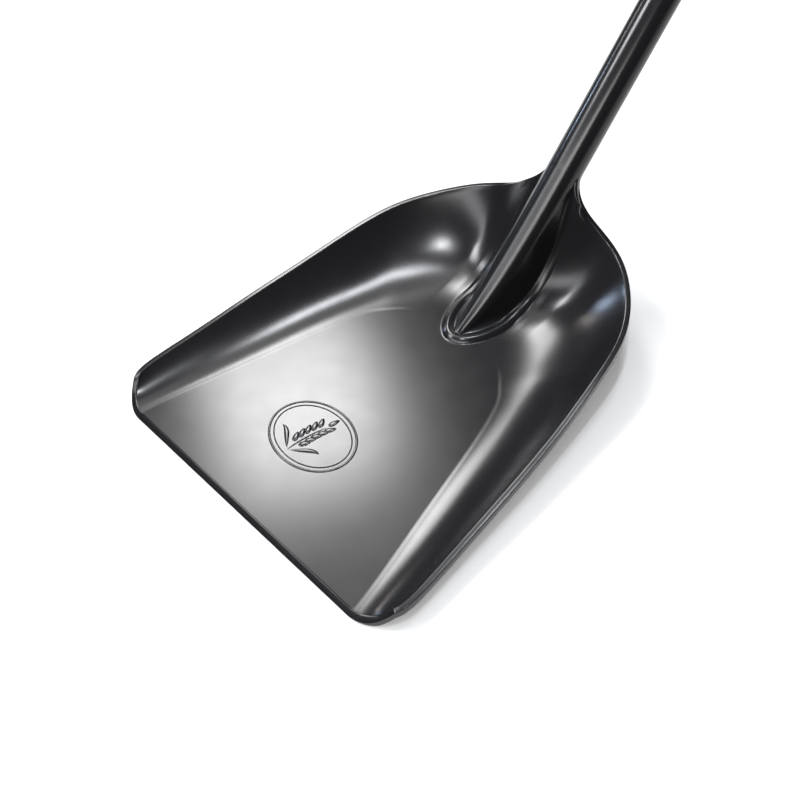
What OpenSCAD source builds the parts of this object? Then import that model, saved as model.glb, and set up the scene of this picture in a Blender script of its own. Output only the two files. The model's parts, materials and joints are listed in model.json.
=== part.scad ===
// Grain scoop shovel: moulded scoop with a round socket, tube handle and a D grip.
// Millimetres. X is across the blade, Y runs from the front edge to the handle, Z is up.
// The origin is on the underside of the flat pan, on the centre line, at the middle of the pan's length.

/* [Blade] */
// Width over the rim near the front corners
rim_w = 378; // [360:1:400]
// Length from the front edge to the back of the rim
blade_l = 452; // [430:1:480]
// Height of the rim at the back corners
shoulder_h = 70; // [60:1:80]
// Wall thickness of the moulding
wall = 4; // [3.5:0.1:5]
// Width of the flat top of the rim
lip_w = 5; // [4:0.1:6]
// Depth of the outer band of the rim
lip_h = 8; // [6:0.1:9]

/* [Socket] */
// Angle of the socket and handle above the pan
lift = 45.5; // [43:0.5:48]
// Height of the socket axis where it crosses the back rim
neck_h = 124; // [118:1:130]
// Outside diameter of the socket tube
socket_d = 36.4; // [35.5:0.1:38]
// Length of the socket tube above the neck
socket_l = 260; // [240:1:290]

/* [Handle] */
// Outside diameter of the handle tube
handle_d = 29; // [28:0.5:29.5]
// Wall thickness of the handle tube
handle_t = 3.5; // [3:0.1:4]
// Free length of the handle between socket and grip
handle_free = 260; // [200:5:350]

/* [Grip] */
// Width over the arms of the grip
grip_w = 128; // [120:1:140]
// Diameter of the hand bar
bar_d = 31; // [28:1:34]

/* [Hidden] */
$fn = 64;
eps = 0.01;
fit = 0.15;
hw = rim_w / 2;
pan_l = 305;
front_y = -150;
neck_y = front_y + blade_l + 5;
toe_y = front_y + pan_l - 25;
crease_y = front_y + pan_l;

// Rim stations, front corner to neck: fractions of half width, length and shoulder height
rim_f = [
    [0.976, 0.050, 0.25], [1.000, 0.095, 0.29], [0.982, 0.221, 0.35], [0.956, 0.376, 0.44],
    [0.921, 0.531, 0.54], [0.873, 0.675, 0.68], [0.809, 0.793, 0.77], [0.684, 0.887, 0.85],
    [0.520, 0.952, 0.97], [0.358, 0.979, 1.11], [0.232, 0.979, 1.32], [0.147, 0.982, 1.55],
    [0.088, 1.001, 1.73]
];
// Edge of the flat pan at the same stations: fractions of half width and of its own length
pan_f = [
    [0.794, 0.000], [0.780, 0.080], [0.693, 0.315], [0.608, 0.538], [0.540, 0.705],
    [0.476, 0.820], [0.418, 0.872], [0.365, 0.910], [0.312, 0.934], [0.267, 0.951],
    [0.219, 0.966], [0.138, 0.982], [0.077, 0.990]
];
rim_pts = [for (p = rim_f) [p[0] * hw, front_y + p[1] * blade_l, p[2] * shoulder_h]];
pan_pts = [for (p = pan_f) [p[0] * hw, front_y + p[1] * pan_l, 0]];
last = len(rim_pts) - 1;

// Smooth curve through a list of points, u counts from 0 at the first point
function spline(p, u) =
    let (n = len(p) - 1, i = min(floor(u), n - 1), t = u - i)
    let (a = p[max(i - 1, 0)], b = p[i], c = p[i + 1], d = p[min(i + 2, n)])
    0.5 * (2 * b + (c - a) * t + (2 * a - 5 * b + 4 * c - d) * pow(t, 2)
        + (3 * b - a - 3 * c + d) * pow(t, 3));
function mix(a, b, t) = a + (b - a) * t;
function unit2(v) = [v[0], v[1], 0] / norm([v[0], v[1]]);

// Wall profile from the pan edge (0) to the rim (1), and its slope; the back wall bends up later
side_pow = 2.3;
back_pow = 3.3;
back_from = 6;
straight_share = 0.28;
straight_end = 9;
function ease(x) = let (k = min(max(x, 0), 1)) k * k * (3 - 2 * k);
function wall_pow(u) = mix(side_pow, back_pow, ease((u - back_from) / 4));
function straight_part(u) = straight_share * (1 - min(u / straight_end, 1));
function rise(u, t) = mix(pow(t, wall_pow(u)), t, straight_part(u));
function rise_slope(u, t) = mix(wall_pow(u) * pow(t, wall_pow(u) - 1), 1, straight_part(u));

// One closed section of the right half: pan, wall, lip and underside
steps = 8;
corner_bow = 5;
function front(u) = pow(max(1 - u / 1.2, 0), 2);
function wall_at(u, t, side) =
    let (r = spline(rim_pts, u), c = spline(pan_pts, u), d = unit2(r - c))
    let (q = r - d * lip_w, run = norm([q[0] - c[0], q[1] - c[1]]))
    let (z = (r[2] - wall) * rise(u, t), b = atan((r[2] - wall) * rise_slope(u, t) / run))
    let (bow = [0.5, -1, 0] * corner_bow * front(u) * 4 * t * (1 - t) * (1 - t))
    let (bev = [0, front(u) > 0.98 ? wall * (1 - t) : 0, 0])
    side > 0
        ? [mix(c[0], q[0], t), mix(c[1], q[1], t), z + wall] + bow + bev
        : [mix(c[0], q[0], t), mix(c[1], q[1], t), z + wall] + bow
            + d * wall * sin(b) - [0, 0, wall * cos(b)];
function half_section(u) =
    let (r = spline(rim_pts, u), c = spline(pan_pts, u), d = unit2(r - c))
    concat(
        [for (i = [0:steps]) wall_at(u, i / steps, 1)],
        [r, r + d * 0.5 - [0, 0, lip_h]],
        [for (i = [steps - 1:-1:0]) wall_at(u, i / steps, -1)]
    );
function flip(list) = [for (i = [len(list) - 1:-1:0]) [-list[i][0], list[i][1], list[i][2]]];
// Top from the left rim to the right rim, then the underside back again
function section(u) =
    let (h = half_section(u), n = len(h), k = steps + 2, f = flip(h))
    concat([for (i = [n - k:n - 1]) f[i]], h, [for (i = [0:n - k - 1]) f[i]]);

// Solid through a list of closed sections, all with the same even number of points
module loft(secs) {
    n = len(secs[0]);
    m = len(secs);
    points = [for (s = secs) each s];
    sides = [for (i = [0:m - 2], j = [0:n - 1]) let (k = (j + 1) % n)
        each [[i * n + j, i * n + k, (i + 1) * n + k], [i * n + j, (i + 1) * n + k, (i + 1) * n + j]]];
    near = [for (j = [0:n / 2 - 2]) each [[j, n - 1 - j, n - 2 - j], [j, n - 2 - j, j + 1]]];
    far = [for (f = near) [for (i = [2:-1:0]) (m - 1) * n + f[i]]];
    polyhedron(points, concat(sides, near, far), convexity = 8);
}

fine = 4;
module blade() {
    loft([for (i = [last * fine:-1:0]) section(i / fine)]);
}

// Spine ridge: path of its centre and its radius, from the toe to the neck
ridge_pts = [[toe_y + 4, 1], [toe_y + 54, 17], [neck_y - 72, neck_h - 72 * tan(lift)], [neck_y, neck_h]];
function bez(p, t) = pow(1 - t, 3) * p[0] + 3 * t * pow(1 - t, 2) * p[1]
    + 3 * t * t * (1 - t) * p[2] + pow(t, 3) * p[3];
toe_r = 5.5;
ridge_widen = 1.35;
ridge_skirt = 5;
function ridge_r(t) = mix(toe_r, socket_d / 2, 1 - pow(1 - min(t * ridge_widen, 1), 2));
function ridge_tilt(t) = atan2(bez(ridge_pts, t + eps)[1] - bez(ridge_pts, t - eps)[1],
    bez(ridge_pts, t + eps)[0] - bez(ridge_pts, t - eps)[0]);
floor_top = 96;
floor_from = crease_y - 3;
floor_run = 140;
function floor_z(y) = mix(wall, floor_top, pow(max(y - floor_from, 0) / floor_run, back_pow));
arc = 13;
function ridge_sec(t, thin, drop) =
    let (p = bez(ridge_pts, t), r = ridge_r(t) - thin, e = r / cos(ridge_tilt(t)))
    concat(
        [[r + ridge_skirt, p[0], min(floor_z(p[0]), p[1]) - drop]],
        [for (i = [0:arc]) let (a = 180 * i / arc) [r * cos(a), p[0], p[1] + e * sin(a)]],
        [[-r - ridge_skirt, p[0], min(floor_z(p[0]), p[1]) - drop]]
    );
ridge_n = 20;
module ridge(thin, drop, t0, t1) {
    loft([for (i = [0:ridge_n]) ridge_sec(mix(t0, t1, i / ridge_n), thin, drop)]);
}

// Raised boat-shaped base round the ridge, fading out below the neck
base_half = 32.6;
base_start = toe_y - 2;
base_end = neck_y - 30;
base_round = 56;
base_lift = 3.6;
base_fade = 60;
base_n = 24;
base_spread = 1.4;
base_edge = 1.5;
base_sink = 1;
function base_x(y) = base_half * sqrt(1 - pow(1 - min((y - base_start) / base_round, 1), 2));
function base_up(y) = base_lift * min((base_end - y) / base_fade, 1);
module ridge_base() {
    loft([for (i = [1:base_n])
        let (y = mix(base_start, base_end, pow(i / base_n, base_spread)))
        let (x = base_x(y), z = floor_z(y), h = base_up(y))
        [[-x, y, z - base_sink], [x, y, z - base_sink], [x, y, z + h / 2],
            [x - base_edge, y, z + h], [base_edge - x, y, z + h], [-x, y, z + h / 2]]]);
}

// Puts its children on the handle axis, d along it from the neck, with Z along the handle
module on_axis(d) {
    translate([0, neck_y, neck_h]) rotate([lift - 90, 0, 0]) translate([0, 0, d]) children();
}

// Positions along the handle axis, measured from the neck
handle_in = 225;
handle_low = socket_l - handle_in;
yoke_low = socket_l + handle_free;
yoke_sleeve = 78;
handle_top = yoke_low + yoke_sleeve - 12;
plug_l = 90;
rivet_at = [socket_l - 25, socket_l - 62];
yoke_rivet_at = yoke_low + 40;
bore_d = handle_d + 2 * fit;
plug_d = handle_d - 2 * handle_t - 2 * fit;

// Rivets: a domed head on one side, a washer and a clinched end on the other
rivet_d = 6;
rivet_head_d = 11;
rivet_head_h = 2.8;
clinch_d = 9;
clinch_h = 1.8;
washer_d = 13;
washer_t = 1;
boss_d = 16;
boss_proud = 0.6;
socket_flat = socket_d / 2 + boss_proud;
yoke_d = 38;
yoke_flat = yoke_d / 2 + boss_proud;

// Grip
yoke_t = 25;
eye_r = 16;
bar_at = 152;
arm_t = 17;
arm_in = grip_w / 2 - arm_t;
fork_low = 56;
fork_knee = 112;
window_low = 84;
rod_d = 9;
rod_head_d = 18;
rod_head_h = 4.5;
nut_af = 15;
nut_h = 7;
rod_washer_d = 20;
rod_washer_t = 1.6;

// Turns a shape that is built along Z so that it lies across the handle, along X
module across(d) {
    on_axis(d) rotate([0, 90, 0]) children();
}

// Round domed cap: a slice of a ball, flat side down at Z = 0
module dome(d, h) {
    ball = (pow(d / 2, 2) + h * h) / (2 * h);
    intersection() {
        translate([0, 0, h - ball]) sphere(r = ball);
        cylinder(d = d + 1, h = h + 1);
    }
}

module cross_hole(d) {
    across(d) cylinder(d = rivet_d + 2 * fit, h = 80, center = true);
}

module boss(d, flat) {
    across(d) cylinder(d = boss_d, h = 2 * flat, center = true);
}

module rivet(flat) {
    translate([0, 0, -flat - washer_t]) cylinder(d = rivet_d, h = 2 * flat + washer_t);
    translate([0, 0, flat]) dome(rivet_head_d, rivet_head_h);
    translate([0, 0, -flat - washer_t]) mirror([0, 0, 1]) dome(clinch_d, clinch_h);
}

module washer(d, hole, t) {
    difference() {
        cylinder(d = d, h = t);
        translate([0, 0, -1]) cylinder(d = hole, h = t + 2);
    }
}

neck_overlap = 62;
hollow_drop = 40;
hollow_from = 0.12;
hollow_to = 0.62;
module scoop_moulding() {
    color("#2b2b2e")
    resize([0, 0, 0])
    difference() {
        union() {
            blade();
            ridge(0, 3, 0.02, 0.98);
            ridge_base();
            on_axis(-neck_overlap) cylinder(d = socket_d, h = neck_overlap + socket_l);
            for (d = rivet_at) boss(d, socket_flat, $fn = 32);
        }
        ridge(wall, hollow_drop, hollow_from, hollow_to);
        on_axis(handle_low) cylinder(d = bore_d, h = handle_in + 1);
        for (d = rivet_at) cross_hole(d, $fn = 24);
    }
}

module handle_tube() {
    color("#26282b")
    difference() {
        on_axis(handle_low) cylinder(d = handle_d, h = handle_top - handle_low);
        on_axis(handle_low - 1) cylinder(d = handle_d - 2 * handle_t, h = handle_top - handle_low + 2);
        for (d = concat(rivet_at, [yoke_rivet_at])) cross_hole(d);
    }
}

module core_plug(low, high, holes) {
    difference() {
        on_axis(low) cylinder(d = plug_d, h = high - low);
        for (d = holes) cross_hole(d);
    }
}

module lower_core_plug() {
    color("#c79a5b") core_plug(handle_low + 2, socket_l - 10, rivet_at);
}

module upper_core_plug() {
    color("#c79a5b") core_plug(handle_top - plug_l, handle_top - 1, [yoke_rivet_at]);
}

// Soft sleeve over the mouth of the socket
collar_over = 14;
collar_up = 24;
collar_t = 2.4;
module socket_collar() {
    color("#1c1c1d")
    on_axis(socket_l) rotate_extrude()
        polygon([
            [socket_d / 2 + fit, -collar_over], [socket_d / 2 + collar_t, -collar_over],
            [socket_d / 2 + collar_t, 1], [handle_d / 2 + 1.6, collar_up],
            [handle_d / 2 + fit, collar_up], [handle_d / 2 + fit, fit], [socket_d / 2 + fit, fit]
        ]);
}

module socket_rivets() {
    color("#b9bcc0") for (d = rivet_at) across(d) rivet(socket_flat);
}

module socket_rivet_washers() {
    color("#a3a6aa")
    for (d = rivet_at)
        across(d) translate([0, 0, -socket_flat - washer_t]) washer(washer_d, rivet_d + 2 * fit, washer_t);
}

// Front outline of the yoke: sleeve, fork and two arms
fork_flare = 10;
fork_slope = 8;
window_half = 12;
arm_round = 6;
module yoke_outline() {
    difference() {
        union() {
            translate([-yoke_d / 2, 0]) square([yoke_d, fork_low + fork_slope]);
            polygon([
                [-yoke_d / 2, fork_low - fork_flare], [yoke_d / 2, fork_low - fork_flare],
                [yoke_d / 2 + fork_flare, fork_low + fork_slope],
                [grip_w / 2 - arm_round, fork_knee - fork_flare], [grip_w / 2, fork_knee],
                [grip_w / 2, bar_at + eye_r], [-grip_w / 2, bar_at + eye_r],
                [-grip_w / 2, fork_knee], [arm_round - grip_w / 2, fork_knee - fork_flare],
                [-yoke_d / 2 - fork_flare, fork_low + fork_slope]
            ]);
        }
        polygon([
            [-window_half, window_low], [window_half, window_low],
            [arm_in - arm_round, fork_knee], [arm_in, fork_knee + fork_slope],
            [arm_in, bar_at + 2 * eye_r], [-arm_in, bar_at + 2 * eye_r],
            [-arm_in, fork_knee + fork_slope], [arm_round - arm_in, fork_knee]
        ]);
    }
}

module grip_yoke() {
    color("#232325")
    on_axis(yoke_low) difference() {
        union() {
            cylinder(d = yoke_d, h = yoke_sleeve);
            rotate([0, 90, 0]) translate([-yoke_rivet_at + yoke_low, 0, 0])
                cylinder(d = boss_d, h = 2 * yoke_flat, center = true);
            intersection() {
                rotate([90, 0, 0]) linear_extrude(yoke_t + 10, center = true) yoke_outline();
                rotate([90, 0, 90]) linear_extrude(grip_w, center = true) {
                    translate([-yoke_t / 2, fork_low - fork_flare])
                        square([yoke_t, bar_at - fork_low + fork_flare]);
                    translate([0, bar_at]) circle(r = eye_r);
                }
            }
        }
        translate([0, 0, -1]) cylinder(d = bore_d, h = handle_top - yoke_low + 1 + fit);
        translate([0, 0, bar_at]) rotate([0, 90, 0])
            cylinder(d = rod_d + 2 * fit, h = grip_w + 2, center = true);
        translate([0, 0, yoke_rivet_at - yoke_low]) rotate([0, 90, 0])
            cylinder(d = rivet_d + 2 * fit, h = 80, center = true);
    }
}

module yoke_rivet() {
    color("#b9bcc0") across(yoke_rivet_at) rivet(yoke_flat);
}

module yoke_rivet_washer() {
    color("#a3a6aa")
    across(yoke_rivet_at) translate([0, 0, -yoke_flat - washer_t])
        washer(washer_d, rivet_d + 2 * fit, washer_t);
}

// Hand bar: a barrel between the arms, slightly thicker in the middle
bar_half = arm_in - 0.4;
bar_end = 3;
bar_shoulder = 1.5;
module grip_bar() {
    color("#1c1c1d")
    across(yoke_low + bar_at) rotate_extrude()
        polygon([
            [rod_d / 2 + fit, -bar_half], [bar_d / 2 - bar_end, -bar_half],
            [bar_d / 2 - bar_shoulder, bar_shoulder - bar_half],
            [bar_d / 2, -bar_half / 2], [bar_d / 2, bar_half / 2],
            [bar_d / 2 - bar_shoulder, bar_half - bar_shoulder],
            [bar_d / 2 - bar_end, bar_half], [rod_d / 2 + fit, bar_half]
        ]);
}

rod_seat = grip_w / 2 + rod_washer_t;
module grip_rod() {
    color("#b9bcc0")
    across(yoke_low + bar_at) {
        translate([0, 0, -rod_seat - nut_h + 1]) cylinder(d = rod_d, h = 2 * rod_seat + nut_h - 1);
        translate([0, 0, rod_seat]) dome(rod_head_d, rod_head_h);
    }
}

module grip_rod_nut() {
    color("#9a9da1")
    across(yoke_low + bar_at) translate([0, 0, -rod_seat]) mirror([0, 0, 1]) difference() {
        union() {
            cylinder(d = nut_af / cos(30), h = nut_h - 2, $fn = 6);
            cylinder(d = nut_af - 2, h = nut_h);
            translate([0, 0, nut_h]) dome(nut_af - 2, 2.6);
        }
        translate([0, 0, -1]) cylinder(d = rod_d + 2 * fit, h = nut_h + 1);
    }
}

module grip_rod_washers() {
    color("#a3a6aa")
    across(yoke_low + bar_at) for (z = [grip_w / 2, -rod_seat])
        translate([0, 0, z]) washer(rod_washer_d, rod_d + 2 * fit, rod_washer_t);
}

scoop_moulding();
handle_tube();
lower_core_plug();
upper_core_plug();
socket_collar();
socket_rivets();
socket_rivet_washers();
grip_yoke();
yoke_rivet();
yoke_rivet_washer();
grip_bar();
grip_rod();
grip_rod_nut();
grip_rod_washers();
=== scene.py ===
import json
import math

import bpy
import bmesh
import numpy as np
from mathutils import Matrix, Vector

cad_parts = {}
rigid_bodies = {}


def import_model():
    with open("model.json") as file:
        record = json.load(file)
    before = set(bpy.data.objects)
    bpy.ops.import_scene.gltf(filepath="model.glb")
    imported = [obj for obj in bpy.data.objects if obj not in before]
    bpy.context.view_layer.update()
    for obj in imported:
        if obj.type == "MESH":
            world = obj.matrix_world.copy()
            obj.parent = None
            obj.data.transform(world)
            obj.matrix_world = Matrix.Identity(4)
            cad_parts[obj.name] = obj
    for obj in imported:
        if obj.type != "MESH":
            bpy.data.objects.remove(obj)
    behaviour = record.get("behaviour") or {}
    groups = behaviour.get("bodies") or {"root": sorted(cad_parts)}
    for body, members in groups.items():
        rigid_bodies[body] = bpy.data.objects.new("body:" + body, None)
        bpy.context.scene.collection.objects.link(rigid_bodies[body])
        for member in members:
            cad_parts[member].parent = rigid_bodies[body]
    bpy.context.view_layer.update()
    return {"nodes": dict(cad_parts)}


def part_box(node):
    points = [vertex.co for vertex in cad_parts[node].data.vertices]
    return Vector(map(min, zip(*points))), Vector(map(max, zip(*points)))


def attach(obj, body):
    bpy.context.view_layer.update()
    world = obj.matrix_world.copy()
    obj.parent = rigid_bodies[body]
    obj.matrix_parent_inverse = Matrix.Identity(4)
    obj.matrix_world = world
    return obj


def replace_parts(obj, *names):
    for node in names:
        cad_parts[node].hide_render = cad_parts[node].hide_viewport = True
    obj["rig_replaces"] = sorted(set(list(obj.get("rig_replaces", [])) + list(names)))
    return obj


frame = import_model()

MM = 0.001

# ---------------------------------------------------------------- sizes of the moulding, in mm
# The half width and the front edge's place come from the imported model. Shapes are worked out with the
# front edge at y = 0 and moved by SHIFT when their mesh is built.
scoop_lo, scoop_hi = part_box("scoop_moulding")
HALF_W = scoop_hi.x / MM
FRONT_Y = scoop_lo.y / MM
SHIFT = (0, FRONT_Y, 0)
BLADE_L, PAN_L, SHOULDER_H = 452.0, 305.0, 70.0
WALL = 4.0
LIP_W, LIP_H, EDGE_R = 5.0, 8.0, 0.8
LIFT = math.radians(45.5)  # angle of the socket and handle above the pan
NECK = (457.0, 124.0)  # y and height where the socket's axis crosses the back rim
TUBE_R = 18.2

# Rim stations from the front corner to the neck, fitted values and the same rows as in the CAD:
# fractions of the half width, the blade's length and the shoulder's height
RIM_F = [
    (0.976, 0.050, 0.25), (1.000, 0.095, 0.29), (0.982, 0.221, 0.35), (0.956, 0.376, 0.44),
    (0.921, 0.531, 0.54), (0.873, 0.675, 0.68), (0.809, 0.793, 0.77), (0.684, 0.887, 0.85),
    (0.520, 0.952, 0.97), (0.358, 0.979, 1.11), (0.232, 0.979, 1.32), (0.147, 0.982, 1.55),
    (0.088, 1.001, 1.73),
]
# Edge of the flat pan at the same stations: fractions of the half width and the pan's length
PAN_F = [
    (0.794, 0.000), (0.780, 0.080), (0.693, 0.315), (0.608, 0.538), (0.540, 0.705),
    (0.476, 0.820), (0.418, 0.872), (0.365, 0.910), (0.312, 0.934), (0.267, 0.951),
    (0.219, 0.966), (0.138, 0.982), (0.077, 0.990),
]
LAST_U = len(RIM_F) - 1
SEAM_U = 10.0  # the side grids end at this station; a strip with the spine lies between them
PARALLEL_U = 8.5  # from here to the seam the wall lines turn parallel to the centre line


def natural_spline(points):
    """C2 curve through the points; u counts from 0 at the first one."""
    p = np.array(points, float)
    n = len(p)
    a = np.zeros((n, n))
    b = np.zeros_like(p)
    a[0, 0] = a[-1, -1] = 1
    for i in range(1, n - 1):
        a[i, i - 1:i + 2] = 1, 4, 1
        b[i] = 6 * (p[i - 1] - 2 * p[i] + p[i + 1])
    m = np.linalg.solve(a, b)

    def at(u):
        u = np.asarray(u, float)
        i = np.clip(np.floor(u).astype(int), 0, n - 2)
        t = (u - i)[..., None]
        s = 1 - t
        return (m[i] * s ** 3 + m[i + 1] * t ** 3) / 6 + (p[i] - m[i] / 6) * s + (p[i + 1] - m[i + 1] / 6) * t
    return at


def smooth01(x):
    x = np.clip(x, 0, 1)
    return x * x * (3 - 2 * x)


def ease(x, start, run):
    """Smooth step from 0 to 1 that begins at start and takes the length run."""
    return smooth01((np.asarray(x, float) - start) / run)


def unit(v):
    v = np.asarray(v, float)
    return v / np.maximum(np.linalg.norm(v, axis=-1, keepdims=True), 1e-12)


def smax(a, b, k):
    """The larger of two heights, rounded over a width of about k where they meet."""
    h = np.clip(0.5 + 0.5 * (a - b) / k, 0, 1)
    return a * h + b * (1 - h) + k * h * (1 - h)


def soft_plus(x, k):
    """x where it is positive and nothing where it is negative, rounded over about k."""
    return k * np.logaddexp(0, x / k)


def bezier(points, t):
    """Cubic curve with four control points."""
    t = np.asarray(t, float)[..., None]
    a, b, c, d = points
    return (1 - t) ** 3 * a + 3 * t * (1 - t) ** 2 * b + 3 * t * t * (1 - t) * c + t ** 3 * d


rim = natural_spline([(x * HALF_W, y * BLADE_L, z * SHOULDER_H) for x, y, z in RIM_F])
crease = natural_spline([(x * HALF_W, y * PAN_L) for x, y in PAN_F])


def rim_out(u):
    """Level unit vector that points out of the blade across the rim."""
    d = rim(np.asarray(u) + 0.01) - rim(np.asarray(u) - 0.01)
    return unit(np.stack([d[..., 1], -d[..., 0], np.zeros_like(d[..., 0])], -1))


def rim_in(u):
    """Inner edge of the rim's lip, where the wall ends."""
    return rim(u) - LIP_W * rim_out(u)


SEAM_X = float(rim_in(SEAM_U)[0])
crease_table = crease(np.linspace(0, LAST_U, 1201))


def crease_y(x):
    """Where the pan ends and the back wall begins, for a given distance from the centre line."""
    return np.interp(-np.asarray(x), -crease_table[:, 0], crease_table[:, 1])


def pan_edge(u):
    """Foot of the wall line that ends at rim station u; the lines turn parallel near the spine."""
    u = np.asarray(u, float)
    x = crease(u)[..., 0]
    w = ease(u, PARALLEL_U, SEAM_U - PARALLEL_U)
    x = x * (1 - w) + w * (SEAM_X + (rim_in(u)[..., 0] - SEAM_X) * 0.5)
    return np.stack([x, np.where(u < PARALLEL_U, crease(u)[..., 1], crease_y(x)), np.zeros_like(x)], -1)


# the wall's profile is part curved and part straight; the straight share fades towards the back wall
STRAIGHT, STRAIGHT_END_U, SOFT_FOOT = 0.28, 9, 0.26
SIDE_POW, BACK_GAIN, BACK_U, BACK_RUN = 2.3, 1.0, 6, 4


def rise(u, t):
    """Share of the wall's height reached at t, from the pan edge (0) to the rim (1)."""
    straight = STRAIGHT * (1 - np.minimum(np.asarray(u) / STRAIGHT_END_U, 1))
    soft = (np.sqrt(t * t + SOFT_FOOT ** 2) - SOFT_FOOT) / (math.sqrt(1 + SOFT_FOOT ** 2) - SOFT_FOOT)
    return (1 - straight) * t ** (SIDE_POW + BACK_GAIN * ease(u, BACK_U, BACK_RUN)) + straight * soft


# front corner: a smooth plan curve from the front edge to the first rim station
CORNER_START, CORNER_END = 19.0, 11.0  # lengths of the curve's two handles
corner_x, corner_top = PAN_F[0][0] * HALF_W, rim(0.0)[:2]
CORNER = np.array([
    [corner_x, 0.0], [corner_x + CORNER_START, 0.0],
    corner_top - CORNER_END * unit(rim(0.02) - rim(0.0))[:2], corner_top,
])


def corner_out(t):
    """Level unit vector that points out of the blade across the corner curve."""
    d = bezier(CORNER, np.asarray(t) + 1e-3) - bezier(CORNER, np.asarray(t) - 1e-3)
    return unit(np.stack([d[..., 1], -d[..., 0]], -1))


STEP_H, STEP_W = 0.22, 5.0
STEP_END_U, STEP_FADE = 6.2, 2.2


def foot_step(u, dist):
    """Small step that frames the pan, fading out towards the spine."""
    return STEP_H * ease(dist, 0, STEP_W) * (1 - ease(u, STEP_END_U, STEP_FADE))


FRONT_U, BEND_U = 1.0, 1.4  # stations where the front lip and the corner's bend have faded out


def wall_xyz(u, t):
    """Top skin of the wall: station u, t from the pan edge to the rim."""
    u, t = np.broadcast_arrays(np.asarray(u, float), np.asarray(t, float))
    foot, top = pan_edge(u), rim_in(u)
    foot[..., 1] += LIP_W * np.maximum(1 - u / FRONT_U, 0) ** 2
    p = foot + (top - foot) * t[..., None]
    run = np.linalg.norm((top - foot)[..., :2], axis=-1)
    p[..., 2] = WALL + (top[..., 2] - WALL) * rise(u, t) + foot_step(u, run * t) * (1 - t)
    bent = bezier(CORNER, t) - LIP_W * corner_out(t)
    foot0, top0 = np.array([corner_x, LIP_W]), rim_in(0.0)[:2]
    line0 = foot0 + (top0 - foot0) * t[..., None]
    p[..., :2] += (bent - line0) * (np.maximum(1 - u / BEND_U, 0) ** 2)[..., None]
    return p


# ---------------------------------------------------------------- spine ridge and its base
# The ridge's centre line is a cubic curve of (y, height) from its tip on the pan to the socket's axis.
RIDGE_RUN = 72.0  # length over which it turns into the axis
RIDGE_TIP_R, RIDGE_GROWTH, TIP_SLOPE = 5.5, 1.35, 0.45
DRAFT, DRAFT_GAIN = 3.0, 1.2  # slope of the ridge's sides, and what it gains towards the neck
ridge_turn = (NECK[0] - RIDGE_RUN, NECK[1] - RIDGE_RUN * math.tan(LIFT))
RIDGE = np.array([(293.0, 1.0), (339.0, 17.0), ridge_turn, NECK])
ridge_t = np.linspace(0, 1, 801)
ridge_path = bezier(RIDGE, ridge_t)
ridge_slope = np.gradient(ridge_path[:, 1]) / np.gradient(ridge_path[:, 0])
ridge_rad = RIDGE_TIP_R + (TUBE_R - RIDGE_TIP_R) * (1 - (1 - np.minimum(ridge_t * RIDGE_GROWTH, 1)) ** 2)


def along_ridge(y):
    """Centre height, slope and radius of the ridge at y."""
    y = np.asarray(y, float)
    z = np.interp(y, ridge_path[:, 0], ridge_path[:, 1])
    z = np.where(y < RIDGE[0][0], RIDGE[0][1] + (y - RIDGE[0][0]) * TIP_SLOPE, z)
    z = np.where(y > NECK[0], NECK[1] + (y - NECK[0]) * math.tan(LIFT), z)
    return z, np.interp(y, ridge_path[:, 0], ridge_slope), np.interp(y, ridge_path[:, 0], ridge_rad)


def ridge_z(x, y, thin=0.0):
    """Height of the ridge's skin over a point, with steep drafted sides below the round top."""
    z, slope, r = along_ridge(y)
    r = np.maximum(r - thin, 1.0)
    e = r * np.sqrt(1 + slope ** 2)
    draft = DRAFT + DRAFT_GAIN * ease(y, 335, 90)
    k = draft * r / e
    m = k / np.sqrt(1 + k * k)
    a = np.abs(x) / r
    top = z + e * np.sqrt(np.maximum(1 - np.minimum(a, m) ** 2, 0))
    return top - draft * r * np.maximum(a - m, 0)


# The ridge stands on a base with a round toe and nearly parallel sides.
BASE_HALF, BASE_END, BASE_NARROWING = 34.6, 470.0, 0.12
TOE_Y, TOE_L, TOE_POW = 281.0, 55.0, 1.6
toe_y = TOE_Y + TOE_L * np.linspace(0, 1, 160) ** 2
base_y = np.concatenate([toe_y, np.linspace(TOE_Y + TOE_L + 2, BASE_END, 90)])
toe_share = np.clip((base_y - TOE_Y) / TOE_L, 0, 1)
base_x = BASE_HALF * np.sqrt(1 - (1 - toe_share) ** TOE_POW) * (1 - BASE_NARROWING * ease(base_y, 395, 60))


def inside_base(x, y):
    """Distance from the base's outline, positive inside it."""
    x, y = np.abs(x), np.asarray(y, float)
    p = np.stack([x, y], -1)[..., None, :]
    q = np.stack([base_x, base_y], -1)
    d = np.sqrt(((p - q) ** 2).sum(-1)).min(-1)
    inner = x < np.interp(y, base_y, base_x, left=-1)
    return np.where(inner, d, -d)


# across the base's edge, each at its distance inside the outline: low step, bead and ramp up to the ridge
BASE_STEP, BASE_STEP_AT, BASE_STEP_W = 0.8, 4, 3.0
BEAD_H, BEAD_AT, BEAD_SPREAD, BEAD_SOFT = 3.4, 5.2, 11.0, 0.4
RAMP_SLOPE, RAMP_AT, RAMP_SOFT, RAMP_TOP = 0.6, 12.5, 2.5, 30


def base_up(x, y):
    """Height of the base above the blade's skin."""
    d = inside_base(x, y)
    step = BASE_STEP * 0.5 * (1 + np.tanh((d - BASE_STEP_AT) / BASE_STEP_W))
    bead = soft_plus(BEAD_H - (d - BEAD_AT) ** 2 / BEAD_SPREAD, BEAD_SOFT)
    ramp = RAMP_SLOPE * soft_plus(d - RAMP_AT, RAMP_SOFT)
    return (step + bead) * (1 - ease(y, 396, 38)) + np.minimum(ramp, RAMP_TOP) * (1 - ease(y, 400, 38))


seam_back = rim_in(np.linspace(SEAM_U, LAST_U, 400))
CORE_X = 19.0  # nearer to the centre line than this the spine hides the blade's skin


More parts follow.
